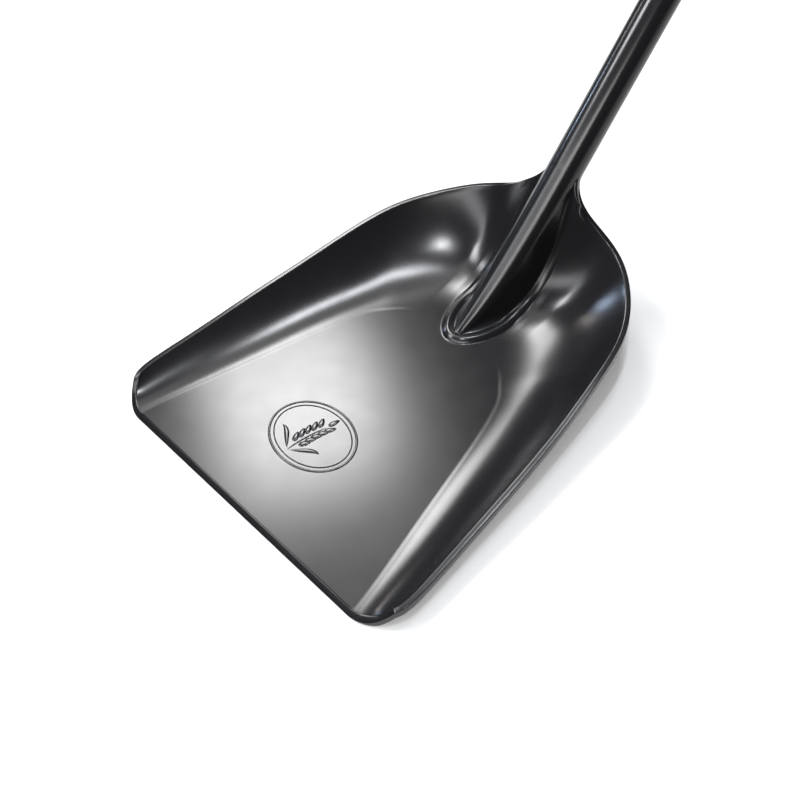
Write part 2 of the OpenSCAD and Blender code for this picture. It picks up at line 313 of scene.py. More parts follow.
def floor_z(x, y):
    """Blade skin near the centre line, without the spine."""
    x = np.clip(np.abs(x), CORE_X, None)
    yc = crease_y(x)
    yq = np.interp(-x, -seam_back[:, 0], seam_back[:, 1])
    zq = np.interp(-x, -seam_back[:, 0], seam_back[:, 2])
    t = np.clip((y - yc) / (yq - yc), 0, 1.2)
    return WALL + (zq - WALL) * rise(SEAM_U, t)


def strip_z(x, y):
    """Top skin near the centre line: blade, base and ridge together."""
    y = np.asarray(y, float)
    base = floor_z(x, y) + base_up(x, y)
    fillet_size = 2.5 + 2.5 * ease(y, 284, 60) + 2 * ease(y, 380, 50)
    both = smax(base, ridge_z(x, y), fillet_size)
    clear_of_ridge = (inside_base(x, y) < -6) & (y < 420)
    return np.where(clear_of_ridge, base, both)


# ---------------------------------------------------------------- grids of points on the right half's skin
STATIONS = np.concatenate([np.arange(0, 1.4, 0.05), np.arange(1.4, 6, 0.09), np.linspace(6, SEAM_U, 76)])
N_PAN, N_WALL, N_STRIP = 26, 52, 58


def gauss_rows(a, sigma):
    """Rows smoothed along the first direction."""
    k = np.exp(-0.5 * (np.arange(-3 * sigma, 3 * sigma + 1) / sigma) ** 2)
    k /= k.sum()
    pad = np.concatenate([np.repeat(a[:1], 3 * sigma, 0), a, np.repeat(a[-1:], 3 * sigma, 0)])
    return np.stack([np.convolve(pad[:, j], k, "valid") for j in range(a.shape[1])], 1)


def strip_columns(rows):
    """Column positions across the strip, closer together where the section bends or is steep."""
    xs = np.linspace(0, SEAM_X, 500)
    out = []
    for y in rows:
        z = strip_z(xs, np.full_like(xs, y))
        dz = np.gradient(z, xs)
        bend = np.abs(np.gradient(dz, xs)) / (1 + dz ** 2) ** 1.5
        need = np.sqrt(1 + dz ** 2) + 2.5 * np.sqrt(np.minimum(bend, 1.0))
        need = np.convolve(np.pad(need, 14, "edge"), np.ones(29) / 29, "valid")
        total = np.concatenate([[0], np.cumsum(0.5 * (need[1:] + need[:-1]))])
        out.append(np.interp(np.linspace(0, total[-1], N_STRIP + 1), total, xs))
    x = gauss_rows(np.array(out), 3)
    x[:, 0], x[:, -1] = 0, SEAM_X
    return x


def grid_normals(p):
    return unit(np.cross(np.gradient(p, axis=1), np.gradient(p, axis=0)))


def blade_normals(x, y, step=0.05):
    """Upward unit vectors across the blade's skin near the centre line."""
    dx = (floor_z(x + step, y) - floor_z(x - step, y)) / (2 * step)
    dy = (floor_z(x, y + step) - floor_z(x, y - step)) / (2 * step)
    return unit(np.stack([-dx, -dy, np.ones_like(dx)], -1))


t_wall = np.linspace(0, 1, N_WALL + 1) ** 1.45  # closer together at the foot
wall_top = wall_xyz(STATIONS[:, None], t_wall[None, :])
pan_x = wall_top[:, :1, 0]
share = np.linspace(0, 1, N_PAN + 1)[None, :-1]
pan_top = np.stack([
    SEAM_X + (pan_x - SEAM_X) * share,
    np.repeat(wall_top[:, :1, 1], N_PAN, 1),
    np.full((len(STATIONS), N_PAN), WALL),
], -1)
side_top = np.concatenate([pan_top, wall_top], 1)
wall_n = grid_normals(wall_top)
wall_n[:, 0] = 0, 0, 1
side_under = side_top.copy()
side_under[:, :N_PAN, 2] = 0
side_under[:, N_PAN:] -= WALL * wall_n

seam_wall = wall_top[-1]
strip_y = np.concatenate([side_top[:, 0, 1], seam_wall[1:, 1]])
strip_x = strip_columns(strip_y)
strip_yy = np.repeat(strip_y[:, None], N_STRIP + 1, 1)
strip_top = np.stack([strip_x, strip_yy, strip_z(strip_x, strip_yy)], -1)
strip_under = np.stack([strip_x, strip_yy, floor_z(strip_x, strip_yy)], -1)
strip_under -= WALL * blade_normals(strip_x, strip_yy)

# the ridge is hollow from below; the hollow sinks away at the toe and at the neck
under_y = strip_under[..., 1]
hollow = ridge_z(strip_under[..., 0], under_y, WALL) - WALL
hollow -= 60 * ease(under_y, 392, 26) + 30 * (1 - ease(under_y, 290, 20))
strip_under[..., 2] = smax(strip_under[..., 2], hollow, 3.0)
n_front = len(STATIONS)
strip_top[n_front - 1:, -1] = seam_wall
strip_under[n_front - 1:, -1] = side_under[-1, N_PAN:]
FLAT_UNDER = 270  # the underside is level up to this y
strip_under[:n_front, :, 2] = np.where(strip_yy[:n_front] < FLAT_UNDER, 0, strip_under[:n_front, :, 2])


def fillet(a, b, c, n=4):
    """Points on a small rounded corner from a to c about b."""
    t = np.linspace(0, 1, n + 1)[:, None, None]
    return list((1 - t) ** 2 * a + 2 * t * (1 - t) * b + t * t * c)


# ---------------------------------------------------------------- rounded lip
FRONT_DROP = 3.2  # the lip leans down at the front edge and is level on the rim
N_FLAT = N_STRIP + N_PAN + 1  # points of the edge path on the straight front edge


def lip_rows():
    """The lip's section at each point of the edge path: front centre, front corner, rim, up to the seam."""
    inner = np.concatenate([strip_top[0], side_top[0, 1:], side_top[1:, -1]])
    next_in = np.concatenate([strip_top[1], side_top[1, 1:-1], side_top[1:2, -2], side_top[1:, -2]])
    corner, corner_t = slice(N_FLAT, N_FLAT + N_WALL), t_wall[1:]
    out = np.zeros_like(inner)
    out[:N_FLAT, 1] = -1
    out[corner, :2] = corner_out(corner_t)
    out[corner.stop:] = rim_out(STATIONS[1:])
    drop = np.zeros(len(inner))
    drop[:N_FLAT] = FRONT_DROP
    drop[corner] = FRONT_DROP * (1 - ease(corner_t, 0.3, 0.6))
    skin_n = np.concatenate([np.tile([0.0, 0.0, 1.0], (N_FLAT, 1)), wall_n[0, 1:], wall_n[1:, -1]])
    under = inner - WALL * skin_n
    across = LIP_W * out - drop[:, None] * np.array([0, 0, 1.0])
    across_dir = unit(across)
    outer = inner + across
    # the lip hangs down by LIP_H, or to the floor where that is less
    depth = outer[:, 2] * LIP_H / (outer[:, 2] ** 4 + LIP_H ** 4) ** 0.25
    down = unit(np.array([0, 0, -1.0]) + 0.05 * out)
    foot = outer + down * depth[:, None]
    foot_r = np.minimum(EDGE_R, 0.42 * depth)[:, None]
    rows = fillet(inner + EDGE_R * unit(next_in - inner), inner, inner + EDGE_R * across_dir)
    rows += [inner + 0.5 * across]
    rows += fillet(outer - EDGE_R * across_dir, outer, outer + foot_r * down)
    rows += [outer + 0.5 * (foot - outer)]
    rows += fillet(foot - foot_r * down, foot, foot + foot_r * unit(under - foot), 3)
    rows += [0.5 * (foot + under), under]
    return np.stack(rows, 1)


lip = lip_rows()
strip_top[0] = lip[:N_STRIP + 1, 0]
side_top[0, 0] = lip[N_STRIP, 0]
side_top[0, 1:] = lip[N_STRIP + 1:N_FLAT + N_WALL, 0]
side_top[1:, -1] = lip[N_FLAT + N_WALL:, 0]
strip_top[n_front - 1:, -1] = side_top[-1, N_PAN:]
strip_top[:n_front, -1] = side_top[:, 0]
strip_under[:n_front, -1] = side_under[:, 0]

# ---------------------------------------------------------------- neck: from the seam row to the socket
AXIS = np.array([0, math.cos(LIFT), math.sin(LIFT)])
AXIS_N = np.array([0, -math.sin(LIFT), math.cos(LIFT)])
AXIS_O = np.array([0, NECK[0], NECK[1]])
RING_S = -2.0  # distances along the socket's axis start at the neck


def on_ring(s, theta, r=TUBE_R):
    """Point on a round section of the socket."""
    s, theta = np.broadcast_arrays(np.asarray(s, float), np.asarray(theta, float))
    return AXIS_O + s[..., None] * AXIS + r * (np.cos(theta)[..., None] * np.array([1.0, 0, 0])
                                               + np.sin(theta)[..., None] * AXIS_N)


loop0 = np.concatenate([strip_top[-1, :-1], lip[-1], strip_under[-1, :-1][::-1]])
arc0 = np.concatenate([[0], np.cumsum(np.linalg.norm(np.diff(loop0, axis=0), axis=1))])
i_lip, i_under = N_STRIP, N_STRIP + lip.shape[1] - 1


def ring_angles():
    """Angle on the socket for each point of the seam row, and the index of the last one on the round top.

    Points on the ridge's round top keep their angle, and the rest share out what is left.
    """
    slope_end = (DRAFT + DRAFT_GAIN) / math.sqrt(1 + float(along_ridge(strip_y[-1])[1]) ** 2)
    x_round = 0.93 * TUBE_R * slope_end / math.sqrt(1 + slope_end ** 2)
    last = int(np.searchsorted(strip_x[-1], x_round))
    angle = np.empty(len(loop0))
    angle[:last + 1] = np.arccos(np.clip(loop0[:last + 1, 0] / TUBE_R, 0, 1))
    arc_share = (arc0 - arc0[last]) / (arc0[-1] - arc0[last])
    angle[last:] = angle[last] - (angle[last] + math.pi / 2) * arc_share[last:]
    return angle, last


def neck_rows():
    """Rows of lines that leave along the skin, or along the rim at the lip, and arrive along the axis."""
    loop1 = on_ring(RING_S, theta)
    rim_dir = unit(rim_in(SEAM_U + 0.02) - rim_in(SEAM_U - 0.02))
    steps_back = np.concatenate([strip_top[-2, :-1], lip[-2], strip_under[-2, :-1][::-1]])
    skin_n = unit(np.cross(np.gradient(loop0, axis=0), unit(loop0 - steps_back)))
    index = np.arange(len(loop0))[:, None]
    w = np.zeros(len(loop0))
    w[i_round:i_lip] = smooth01((arc0[i_round:i_lip] - arc0[i_round]) / (arc0[i_lip] - arc0[i_round]) * 1.3)
    w[i_lip:i_under + 1] = 1
    w[i_under + 1:] = smooth01(1 - (arc0[i_under + 1:] - arc0[i_under]) / (arc0[-1] - arc0[i_under]))
    core_dir = np.where(index <= i_lip, AXIS, unit(np.array([0, 1.0, 0.5])))
    start = core_dir * (1 - w[:, None]) + rim_dir * w[:, None]
    flat = start - (start * skin_n).sum(-1, keepdims=True) * skin_n
    start = unit(np.where((index < i_lip) | (index > i_under), flat, start))
    reach = np.linalg.norm(loop1 - loop0, axis=1, keepdims=True)
    rows = []
    for v in np.linspace(0, 1, 17):
        h00, h10 = 2 * v ** 3 - 3 * v ** 2 + 1, v ** 3 - 2 * v ** 2 + v
        h01, h11 = -2 * v ** 3 + 3 * v ** 2, v ** 3 - v ** 2
        rows.append(h00 * loop0 + h10 * reach * start + h01 * loop1 + h11 * reach * AXIS)
    return np.array(rows)


theta, i_round = ring_angles()
neck = neck_rows()

# ---------------------------------------------------------------- socket tube
SOCKET_L, BORE_R, BORE_END = 260.0, 14.65, 35.0
MOUTH_R = 1.2
RIVET_S = (235.0, 198.0)
BOSS_R, BOSS_X = 8.0, 18.8


def socket_rows():
    """Tube with rows closer together at the rivet bosses, then its mouth and blind bore."""
    rows = [on_ring(s, theta) for s in np.linspace(RING_S, 187, 12)]
    rows += [on_ring(s, theta) for s in np.arange(188, 247, 0.75)]
    rows += [on_ring(s, theta) for s in (249, SOCKET_L - MOUTH_R)]
    rows += [on_ring(SOCKET_L - 0.35, theta, TUBE_R - 0.35), on_ring(SOCKET_L, theta, TUBE_R - MOUTH_R)]
    rows += [on_ring(SOCKET_L, theta, BORE_R + 0.5), on_ring(SOCKET_L - 0.5, theta, BORE_R)]
    rows += [on_ring(BORE_END, theta, BORE_R), on_ring(BORE_END, theta, 0.0)]
    p = np.array(rows)
    s, n = (p - AXIS_O) @ AXIS, (p - AXIS_O) @ AXIS_N
    outer = np.linalg.norm(p - AXIS_O - s[..., None] * AXIS, axis=-1) > TUBE_R - 0.1
    for boss_s in RIVET_S:
        on_boss = smooth01(BOSS_R + 0.5 - np.hypot(s - boss_s, n)) * outer * (p[..., 0] > 0)
        p[..., 0] += (BOSS_X - p[..., 0]) * on_boss
    return p


WELD = 2e-6  # in m; points closer than this become one


class Skin:
    """Collects grids of points and makes one welded mesh of them."""

    def __init__(self):
        self.verts, self.faces, self.n = [], [], 0

    def grid(self, p, flip=False):
        """Add rows of points with a face between each four neighbours."""
        r, c = p.shape[:2]
        self.verts.append(p.reshape(-1, 3))
        i = (np.arange(r - 1)[:, None] * c + np.arange(c - 1)[None, :]).ravel() + self.n
        quad = np.stack([i, i + 1, i + c + 1, i + c], 1)
        self.faces.append(quad[:, ::-1] if flip else quad)
        self.n += r * c

    def both_sides(self, p, flip=False):
        """Add a grid and its mirror image."""
        self.grid(p, flip)
        self.grid(p * np.array([-1, 1, 1]), not flip)

    def build(self, name, closed=False):
        v = (np.concatenate(self.verts) + np.array(SHIFT)) * MM
        mesh = bpy.data.meshes.new(name)
        mesh.from_pydata(v.tolist(), [], np.concatenate(self.faces).tolist())
        bm = bmesh.new()
        bm.from_mesh(mesh)
        bmesh.ops.remove_doubles(bm, verts=bm.verts, dist=WELD)
        bmesh.ops.dissolve_degenerate(bm, edges=bm.edges, dist=1e-7)
        if closed:
            bmesh.ops.recalc_face_normals(bm, faces=bm.faces)
        for face in bm.faces:
            face.smooth = True
        bm.to_mesh(mesh)
        bm.free()
        ob = bpy.data.objects.new(name, mesh)
        bpy.context.scene.collection.objects.link(ob)
        return ob


skin = Skin()
skin.both_sides(strip_top)
skin.both_sides(side_top)
skin.both_sides(lip)
skin.both_sides(side_under, flip=True)
skin.both_sides(strip_under, flip=True)
skin.both_sides(neck)
skin.both_sides(socket_rows())
scoop = skin.build("scoop_skin")
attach(scoop, "root")
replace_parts(scoop, "scoop_moulding")


# ---------------------------------------------------------------- raised mark: an ear of grain in an oval
MARK_X, MARK_Y = -8.0, 102.0
MARK_H, MARK_SUNK, KERNEL_SUNK = 0.9, 0.15, 0.2
OVAL_X, OVAL_Y = 47, 37  # half axes of the outer ring
KERNELS, KERNEL_GAP, KERNEL_OUT = 5, 0.155, 6.2


def cord(path, width, height):
    """Closed round bead along a flat path, half sunk into the pan; width may vary and ends at nothing."""
    path = np.asarray(path, float)
    width = np.broadcast_to(np.asarray(width, float), (len(path),))
    d = unit(np.gradient(path, axis=0))
    side = np.stack([d[:, 1], -d[:, 0]], 1)
    turn = np.linspace(0, 2 * math.pi, 17)
    flat = path[:, None] + (width[:, None] * np.cos(turn))[..., None] * side[:, None]
    z = WALL - MARK_SUNK + (height * width / width.max())[:, None] * np.sin(turn)[None]
    return np.concatenate([flat, z[..., None]], -1)


def grain(x, y, length, breadth, height, lean):
    """One kernel: a long lens, leaning."""
    up = np.linspace(-math.pi / 2, math.pi / 2, 15)[:, None]
    turn = np.linspace(0, 2 * math.pi, 29)[None]
    a = length * np.cos(up) * np.cos(turn)
    b = breadth * np.cos(up) * np.sin(turn) * (1 - 0.25 * np.cos(turn))
    c, s = math.cos(lean), math.sin(lean)
    z = np.broadcast_to(WALL - KERNEL_SUNK + height * np.sin(up), a.shape)
    return np.stack([x + a * c - b * s, y + a * s + b * c, z], -1)


mark = Skin()
oval_t = np.linspace(0, 2 * math.pi, 129)
for grow, thick in ((0.0, 1.3), (-4.6, 0.7)):
    oval = np.stack([MARK_X + (OVAL_X + grow) * np.cos(oval_t), MARK_Y + (OVAL_Y + grow) * np.sin(oval_t)], 1)
    ring = cord(oval, thick, MARK_H)
    ring[-1] = ring[0]
    mark.grid(ring)
stem_t = np.linspace(0, 1, 41)
stem = np.stack([MARK_X - 5 + 8 * stem_t ** 2, MARK_Y - 28 + 44 * stem_t], 1)
mark.grid(cord(stem, 1.1 * np.sin(math.pi * stem_t).clip(0) ** 0.4, MARK_H))
for k in range(KERNELS):
    at = [np.interp(0.26 + KERNEL_GAP * k, stem_t, stem[:, i]) for i in (0, 1)]
    for side in (-1, 1):
        lean = math.pi / 2 - side * 0.5
        mark.grid(grain(at[0] + side * KERNEL_OUT, at[1] + 5.0, 6.2, 3.0, 1.0, lean))
mark.grid(grain(stem[-1, 0] + 0.8, stem[-1, 1] + 8.0, 6.4, 2.9, 1.0, math.pi / 2 - 0.2))
leaf_t = np.linspace(0, 1, 31)
for side in (-1, 1):
    leaf_x = MARK_X - 5 + side * 27 * leaf_t ** 0.8
    leaf = np.stack([leaf_x, MARK_Y - 27 + 27 * leaf_t - 11 * leaf_t ** 3], 1)
    mark.grid(cord(leaf, 2.6 * np.sin(math.pi * leaf_t).clip(0) ** 0.8, MARK_H))
emblem = mark.build("pan_relief", closed=True)
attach(emblem, "root")
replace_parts(emblem, "scoop_moulding")


# ---------------------------------------------------------------- turned pieces
def soften(points, r, n=5, closed=False):
    """Line through the points with rounded corners of size r."""
    pts = [np.array(q, float) for q in points]
    out = []
    for i, b in enumerate(pts):
        if not closed and i in (0, len(pts) - 1):
            out.append(b)
            continue
        a, c = pts[i - 1], pts[(i + 1) % len(pts)]
        la, lc = max(np.linalg.norm(a - b), 1e-9), max(np.linalg.norm(c - b), 1e-9)
        k = min(r, 0.45 * la, 0.45 * lc)
        p0, p2 = b + (a - b) / la * k, b + (c - b) / lc * k
        out += [(1 - t) ** 2 * p0 + 2 * t * (1 - t) * b + t * t * p2 for t in np.linspace(0, 1, n + 1)]
    if closed:
        out.append(out[0])
    return np.array(out)


def dome(r, h, at, n=10):
    """Half of a domed head as (radius, height) points from its top to its edge."""
    ball = (r * r + h * h) / (2 * h)
    a = np.linspace(0, math.asin(min(r / ball, 1)), n)
    return [(ball * math.sin(x), at + h - ball + ball * math.cos(x)) for x in a]


def lathe(name, profiles, at, axis, node, segs=96):
    """Turned piece: (radius, height) profiles swept round an axis through a point."""
    axis = unit(axis)
    ref = np.array([1.0, 0, 0]) if abs(axis[0]) < 0.9 else AXIS
    a = unit(np.cross(axis, ref))
    b = np.cross(axis, a)
    turn = np.linspace(0, 2 * math.pi, segs + 1)
    ring = np.cos(turn)[:, None] * a + np.sin(turn)[:, None] * b
    part = Skin()
    for point, profile in zip(at, profiles):
        q = np.array(profile, float)
        part.grid(point + q[:, 1, None, None] * axis + q[:, 0, None, None] * ring[None])
    ob = part.build(name, closed=True)
    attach(ob, "root")
    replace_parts(ob, node)


def on_axis(s):
    return AXIS_O + s * AXIS


# ---------------------------------------------------------------- handle and collar
X_AXIS = np.array([1.0, 0, 0])
HANDLE_R, HANDLE_WALL, HANDLE_TOP = 14.5, 3.5, 586.0
tube_in = HANDLE_R - HANDLE_WALL
handle_line = [(HANDLE_R, s) for s in np.linspace(BORE_END, HANDLE_TOP, 24)]
handle_line += [(tube_in, HANDLE_TOP), (tube_in, BORE_END)]
handle_line = soften(handle_line, 0.5, closed=True)
lathe("handle_tube_skin", [handle_line], [on_axis(0)], AXIS, "handle_tube", 128)

# collar outline as (radius, height above the socket's mouth): ribbed skirt, shoulder, ribbed cone, bore
RIB_GAP, CONE_GAP, CONE_STEP = 4.4, 4.2, 0.75
SKIRT_R = 18.35
collar_line = [(SKIRT_R, -14.0), (20.3, -14.0)]
for k in range(3):
    z = RIB_GAP * k
    collar_line += [(20.75, -12.6 + z), (20.75, -10.9 + z), (20.15, -10.2 + z), (20.15, -9.0 + z)]
collar_line += [(20.5, 1.2), (19.9, 3.4), (18.4, 9.0)]
for k in range(3):
    r, z = -CONE_STEP * k, CONE_GAP * k
    collar_line += [(18.3 + r, 10.0 + z), (17.7 + r, 10.8 + z), (17.6 + r, 12.2 + z), (17.8 + r, 13.2 + z)]
collar_line += [(16.1, 23.0), (15.9, 24.0), (BORE_R, 24.0), (BORE_R, 0.15), (SKIRT_R, 0.15)]
collar_line = soften(collar_line, 0.8, 4, closed=True)
lathe("socket_collar_skin", [collar_line], [on_axis(SOCKET_L)], AXIS, "socket_collar", 112)


# ---------------------------------------------------------------- rivets and their washers
SHANK_R, HEAD_R, HEAD_H = 3.0, 5.5, 2.8
WASHER_R, WASHER_HOLE, WASHER_T = 6.5, 3.15, 1.0


def rivet_line(flat):
    """Outline of a rivet: domed head on one flat face, spread tail past the washer on the other."""
    head = dome(HEAD_R, HEAD_H, flat) + [(HEAD_R, flat), (SHANK_R, flat)]
    tail_at = -flat - WASHER_T
    tail = [
        (SHANK_R, tail_at), (4.5, tail_at), (4.3, tail_at - 1.1), (3.3, tail_at - 1.8),
        (2.2, tail_at - 1.6), (1.6, tail_at - 0.9), (0.0, tail_at - 0.8),
    ]
    line = soften(head[1:] + tail, 0.35, 3)
    return np.concatenate([[head[0]], line])


def washer_line(r, hole, z0, z1):
    return soften([(hole, z0), (r, z0), (r, z1), (hole, z1)], 0.25, 3, closed=True)


def rivets(names, nodes, flat, places):
    """Rivets through the tool at some places, and the washers under their tails."""
    at = [on_axis(s) for s in places]
    washer = washer_line(WASHER_R, WASHER_HOLE, -flat - WASHER_T, -flat)
    lathe(names[0], [rivet_line(flat)] * len(at), at, X_AXIS, nodes[0], 64)
    lathe(names[1], [washer] * len(at), at, X_AXIS, nodes[1], 64)


YOKE_S, YOKE_RIVET_S, YOKE_FLAT = 520.0, 560.0, 19.6
rivets(("socket_rivets_skin", "socket_washers_skin"), ("socket_rivets", "socket_rivet_washers"),
       BOSS_X, RIVET_S)
rivets(("yoke_rivet_skin", "yoke_washer_skin"), ("yoke_rivet", "yoke_rivet_washer"),
       YOKE_FLAT, [YOKE_RIVET_S])


# ---------------------------------------------------------------- hand bar, its rod and washers
BAR_S, BAR_HALF, BAR_R, GRIP_HALF = 672.0, 46.6, 15.5, 64.0
BARREL, GROOVE_H, GROOVE_GAP = 1.9, 0.45, 7.1
ROD_R, ROD_HOLE, ROD_HEAD_R, ROD_HEAD_H, ROD_TAIL = 4.5, 4.65, 9.0, 4.5, 6.0
bar_x = np.linspace(-BAR_HALF + 2.0, BAR_HALF - 2.0, 241)
bar_r = BAR_R - BARREL * np.abs(bar_x / BAR_HALF) ** 3
bar_r -= GROOVE_H * (0.5 - 0.5 * np.cos(2 * math.pi * bar_x / GROOVE_GAP)) ** 3
bar_line = [(ROD_HOLE, -BAR_HALF), (11.6, -BAR_HALF), (12.9, -BAR_HALF + 0.7)]
bar_line += list(zip(bar_r, bar_x))
bar_line += [(12.9, BAR_HALF - 0.7), (11.6, BAR_HALF), (ROD_HOLE, BAR_HALF)]
bar_line += bar_line[:1]
lathe("grip_bar_skin", [bar_line], [on_axis(BAR_S)], X_AXIS, "grip_bar", 96)

ROD_WASHER_R, ROD_WASHER_T = 10.0, 1.6
ROD_SEAT = GRIP_HALF + ROD_WASHER_T
rod_head = dome(ROD_HEAD_R, ROD_HEAD_H, ROD_SEAT)
rod_end = -ROD_SEAT - ROD_TAIL
rod_line = rod_head[1:] + [(ROD_HEAD_R, ROD_SEAT), (ROD_R, ROD_SEAT), (ROD_R, rod_end), (0.0, rod_end)]
rod_line = np.concatenate([[rod_head[0]], soften(rod_line, 0.5, 3)])
lathe("grip_rod_skin", [rod_line], [on_axis(BAR_S)], X_AXIS, "grip_rod", 80)
sides = ((GRIP_HALF, ROD_SEAT), (-ROD_SEAT, -GRIP_HALF))
rod_washers = [washer_line(ROD_WASHER_R, ROD_HOLE, *ends) for ends in sides]
lathe("grip_rod_washers_skin", rod_washers, [on_axis(BAR_S)] * 2, X_AXIS, "grip_rod_washers", 80)


# ---------------------------------------------------------------- the forked grip as a blended solid
def blend(a, b, k):
    """The smaller of two fields, rounded over about k where they meet."""
    h = np.clip(0.5 + 0.5 * (b - a) / k, 0, 1)
    return b * (1 - h) + a * h - k * h * (1 - h)


# One arm's centre line as (across, along) points, from the sleeve to the eye of the hand bar
ARM = np.array([(0, 50), (13, 64), (30, 82), (44, 98), (52.5, 112), (55.3, 128), (55.5, 152)], float)
arm_at = natural_spline(ARM)
arm_path = arm_at(np.linspace(0, len(ARM) - 1, 31))
SLEEVE_R, SLEEVE_L, ARM_X, ARM_N, EYE_R, BAR_UP = 19.0, 70.0, 8.5, 12.5, 16.0, 152.0


def capped(radial, along, r, lo, hi, edge):
    """Field of a round bar between two heights, with rounded edges."""
    d = np.stack([radial - (r - edge), np.maximum(lo + edge - along, along - (hi - edge))])
    return np.minimum(d.max(0), 0) + np.sqrt((np.maximum(d, 0) ** 2).sum(0)) - edge


def grip_field(x, n, s):
    """Negative inside the grip; x is across, n square to the grip, s along it from its sleeve's foot."""
    x = np.abs(x)
    squash = ARM_X / ARM_N
    arm = np.full(x.shape, 1e3)
    for p0, p1 in zip(arm_path[:-1], arm_path[1:]):
        v = p1 - p0
        t = np.clip(((x - p0[0]) * v[0] + (s - p0[1]) * v[1]) / (v @ v), 0, 1)
        flat = (x - p0[0] - t * v[0]) ** 2 + (s - p0[1] - t * v[1]) ** 2
        arm = np.minimum(arm, (flat ** 1.3 + np.abs(squash * n) ** 2.6) ** (1 / 2.6) - ARM_X)
    sleeve = capped(np.hypot(x, n), s, SLEEVE_R, 0, SLEEVE_L, 2.0)
    band = capped(np.hypot(x, n), s, SLEEVE_R + 1.2, 0, 9.0, 1.2)
    eye = capped(np.hypot(s - BAR_UP, n), x, EYE_R, GRIP_HALF - 17, GRIP_HALF, 2.2)
    pad = capped(np.hypot(s - (YOKE_RIVET_S - YOKE_S), n), x, BOSS_R, 0, YOKE_FLAT, 0.6)
    solid = blend(blend(arm, sleeve, 13.0), eye, 7.0)
    solid = blend(blend(solid, band, 1.5), pad, 1.5)
    return np.maximum(solid, -capped(np.hypot(x, n), s, BORE_R, -9, HANDLE_TOP - YOKE_S + 0.2, 0.1))


def skin_of(field, lo, hi, step):
    """Closed quad mesh on the zero level of a field, one point in every cell the level passes through."""
    lo = np.array(lo, float)
    count = np.ceil((np.array(hi) - lo) / step).astype(int) + 1
    axes = [lo[i] + step * np.arange(count[i]) for i in range(3)]
    f = field(*np.meshgrid(*axes, indexing="ij"))
    corners = [(i, j, k) for i in (0, 1) for j in (0, 1) for k in (0, 1)]
    cut = [slice(0, -1), slice(1, None)]
    total = np.zeros((*[c - 1 for c in count], 3))
    hits = np.zeros([c - 1 for c in count])
    for a in corners:
        for ax in range(3):
            if a[ax]:
                continue
            b = tuple(1 if i == ax else a[i] for i in range(3))
            fa, fb = f[cut[a[0]], cut[a[1]], cut[a[2]]], f[cut[b[0]], cut[b[1]], cut[b[2]]]
            cross = (fa < 0) != (fb < 0)
            t = np.where(cross, fa / np.where(cross, fa - fb, 1), 0)
            for i in range(3):
                total[..., i] += cross * (a[i] + (t if i == ax else 0))
            hits += cross
    used = hits > 0
    index = np.full(used.shape, -1)
    index[used] = np.arange(used.sum())
    verts = lo + step * (np.argwhere(used) + total[used] / hits[used][:, None])
    for _ in range(3):
        h = 0.02
        here = field(*verts.T)
        g = np.stack([field(*(verts + h * np.eye(3)[i]).T) - here for i in range(3)], 1) / h
        move = here[:, None] * g / np.maximum((g ** 2).sum(1, keepdims=True), 0.05)
        verts -= np.clip(move, -0.4 * step, 0.4 * step)
    quads = []
    for ax in range(3):
        j, k = [(1, 2), (2, 0), (0, 1)][ax]
        near, far = [slice(None)] * 3, [slice(None)] * 3
        near[ax], far[ax] = slice(0, -1), slice(1, None)
        fa, fb = f[tuple(near)], f[tuple(far)]
        for c in np.argwhere((fa < 0) != (fb < 0)):
            around = []
            for dj, dk in ((-1, -1), (0, -1), (0, 0), (-1, 0)):
                q = c.copy()
                q[j] += dj
                q[k] += dk
                around.append(index[tuple(q)])
            quads.append(around if fa[tuple(c)] < 0 else around[::-1])
    return verts, np.array(quads)


GRIP_LO, GRIP_HI, GRIP_CELL = (-66.3, -22.1, -2.0), (66.3, 22.1, 171.0), 1.3
grip_v, grip_f = skin_of(grip_field, GRIP_LO, GRIP_HI, GRIP_CELL)
grip_part = Skin()
grip_part.verts.append(on_axis(YOKE_S) + grip_v @ np.array([X_AXIS, AXIS_N, AXIS]))
grip_part.faces.append(grip_f)
yoke = grip_part.build("grip_yoke_skin", closed=True)
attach(yoke, "root")
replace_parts(yoke, "grip_yoke")


